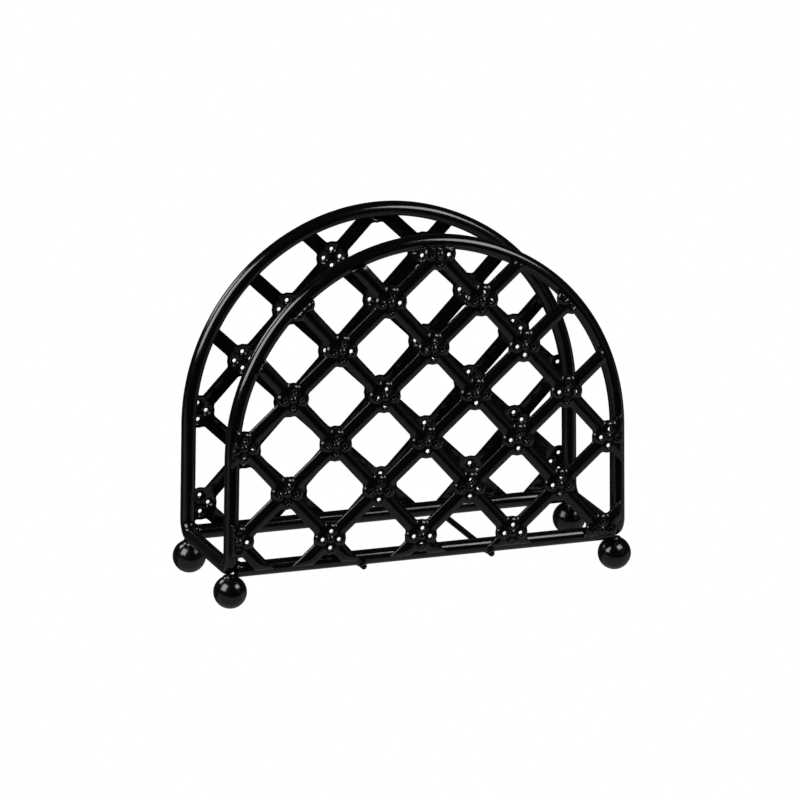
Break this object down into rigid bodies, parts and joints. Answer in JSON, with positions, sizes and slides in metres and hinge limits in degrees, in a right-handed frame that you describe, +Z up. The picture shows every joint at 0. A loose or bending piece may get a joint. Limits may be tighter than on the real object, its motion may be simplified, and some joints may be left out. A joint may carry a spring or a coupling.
{
  "type": "napkin holder",
  "caption": "Free-standing wire napkin holder: arched trellis panels front and rear, a rosette at each crossing, an open top and sides, and ball feet.",
  "frame": {"origin": "on the table, under the middle of the holder's bounding box", "axes": "+X along the panels towards the right as seen from the front, +Y from the front panel to the rear panel, +Z up"},
  "size_m": [0.165, 0.0624, 0.1371],
  "materials": {
    "wire_paint": "thick gloss black paint on steel wire",
    "ball_paint": "thick gloss black paint on steel balls",
    "trellis_paint": "gloss black paint on thin pressed steel"
  },
  "bodies": {
    "root": {"front_arch_wire": "wire_paint", "rear_arch_wire": "wire_paint", "front_bottom_rail": "wire_paint", "rear_bottom_rail": "wire_paint", "left_cross_wire": "wire_paint", "right_cross_wire": "wire_paint", "front_left_ball_foot": "ball_paint", "front_right_ball_foot": "ball_paint", "rear_left_ball_foot": "ball_paint", "rear_right_ball_foot": "ball_paint", "front_falling_strip_1": "trellis_paint", "front_falling_strip_2": "trellis_paint", "front_falling_strip_3": "trellis_paint", "front_falling_strip_4": "trellis_paint", "front_falling_strip_5": "trellis_paint", "front_falling_strip_6": "trellis_paint", "front_rising_strip_1": "trellis_paint", "front_rising_strip_2": "trellis_paint", "front_rising_strip_3": "trellis_paint", "front_rising_strip_4": "trellis_paint", "front_rising_strip_5": "trellis_paint", "front_rising_strip_6": "trellis_paint", "rear_falling_strip_1": "trellis_paint", "rear_falling_strip_2": "trellis_paint", "rear_falling_strip_3": "trellis_paint", "rear_falling_strip_4": "trellis_paint", "rear_falling_strip_5": "trellis_paint", "rear_falling_strip_6": "trellis_paint", "rear_rising_strip_1": "trellis_paint", "rear_rising_strip_2": "trellis_paint", "rear_rising_strip_3": "trellis_paint", "rear_rising_strip_4": "trellis_paint", "rear_rising_strip_5": "trellis_paint", "rear_rising_strip_6": "trellis_paint"}
  },
  "joints": []
}
